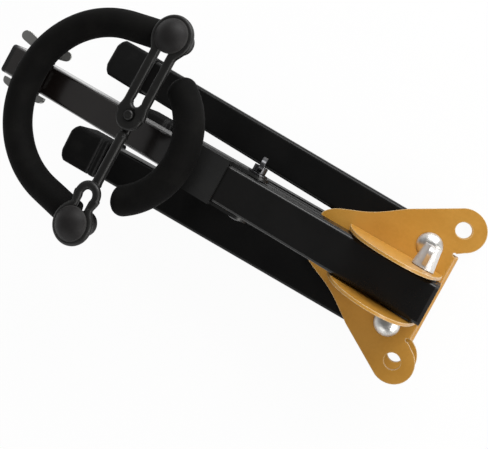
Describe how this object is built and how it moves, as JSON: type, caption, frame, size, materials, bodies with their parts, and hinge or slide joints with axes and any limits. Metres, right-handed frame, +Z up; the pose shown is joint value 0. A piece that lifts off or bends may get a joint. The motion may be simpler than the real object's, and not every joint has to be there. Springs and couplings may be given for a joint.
{
  "type": "saxophone stand",
  "caption": "Folding tripod saxophone stand with a telescopic post, two padded yokes and a strap, folded flat.",
  "frame": {"origin": "middle of the bounding box on the plane that the feet rest on", "axes": "X along the folded post with the leg bracket at +X, Y across it, Z up through the stack"},
  "size_m": [0.2678, 0.1254, 0.0851],
  "materials": {
    "gold_paint": "satin ochre gold powder coat",
    "leg_black": "satin black powder coat",
    "tube_black": "satin black coat, soft highlight",
    "inner_tube_grey": "satin dark grey coat",
    "bright_metal": "bright plated",
    "zinc_steel": "zinc plated",
    "dark_screw": "black plated",
    "black_rubber": "matt black rubber",
    "black_foam": "matt black foam",
    "black_plastic": "matt black nylon"
  },
  "bodies": {
    "base": {"bracket": "gold_paint", "cheek_channel": "gold_paint", "rear_leg": "leg_black", "rear_foot": "black_rubber", "rear_leg_rivets": "zinc_steel", "leg_bolts": "bright_metal", "leg_nuts": "zinc_steel", "post_bolt": "bright_metal"},
    "left_leg_set": {"left_leg": "leg_black", "left_foot": "black_rubber", "left_leg_bush": "black_plastic", "left_leg_washers": "zinc_steel"},
    "right_leg_set": {"right_leg": "leg_black", "right_foot": "black_rubber", "right_leg_bush": "black_plastic", "right_leg_washers": "zinc_steel"},
    "post": {"outer_tube": "tube_black", "post_sleeve": "zinc_steel", "post_spacers": "black_plastic", "post_plug": "black_plastic", "slide_collar": "black_plastic", "clamp_boss": "dark_screw", "saddle_rivet": "dark_screw"},
    "post_nut": {"post_wing_nut": "bright_metal"},
    "clamp": {"clamp_screw": "dark_screw"},
    "mast": {"inner_tube": "inner_tube_grey", "mast_plug": "black_plastic", "tail_glide": "black_plastic", "mast_sleeve": "zinc_steel", "wing_bolt": "zinc_steel"},
    "yoke_nut": {"yoke_wing_nut": "zinc_steel"},
    "upper_yoke": {"yoke_holder": "tube_black", "upper_rod": "tube_black", "upper_foam": "black_foam", "left_ball": "black_plastic", "right_ball": "black_plastic", "strap_link": "black_rubber", "strap_rod": "black_rubber"},
    "lower_yoke": {"saddle": "tube_black", "lower_rod": "tube_black", "lower_foam": "black_foam", "lower_caps": "black_rubber"}
  },
  "joints": [
    {"name": "left_leg_swing", "type": "hinge", "parent": "base", "child": "left_leg_set", "pos_m": [0.11235, 0.0218, 0.0132], "axis": [0, 0, -1], "range_deg": [0, 113]},
    {"name": "right_leg_swing", "type": "hinge", "parent": "base", "child": "right_leg_set", "pos_m": [0.11235, -0.0218, 0.0132], "axis": [0, 0, 1], "range_deg": [0, 113]},
    {"name": "post_tilt", "type": "hinge", "parent": "base", "child": "post", "pos_m": [0.11455, 0, 0.05], "axis": [0, 1, 0], "range_deg": [0, 95]},
    {"name": "post_nut_turn", "type": "hinge", "parent": "base", "child": "post_nut", "pos_m": [0.11455, 0.018, 0.05], "axis": [0, 1, 0], "continuous": true},
    {"name": "clamp_screw_turn", "type": "hinge", "parent": "post", "child": "clamp", "pos_m": [0.02505, 0.016, 0.05], "axis": [0, 1, 0], "range_deg": [0, 360]},
    {"name": "mast_slide", "type": "slide", "parent": "post", "child": "mast", "axis": [-1, 0, 0], "range_m": [0, 0.07]},
    {"name": "yoke_nut_turn", "type": "hinge", "parent": "mast", "child": "yoke_nut", "pos_m": [-0.11895, 0.014, 0.05], "axis": [0, 1, 0], "continuous": true},
    {"name": "upper_yoke_fold", "type": "hinge", "parent": "mast", "child": "upper_yoke", "pos_m": [-0.11895, 0, 0.05], "axis": [0, -1, 0], "range_deg": [0, 76]},
    {"name": "lower_yoke_fold", "type": "hinge", "parent": "post", "child": "lower_yoke", "pos_m": [0.02505, 0, 0.05], "axis": [0, 1, 0], "range_deg": [0, 90]}
  ]
}
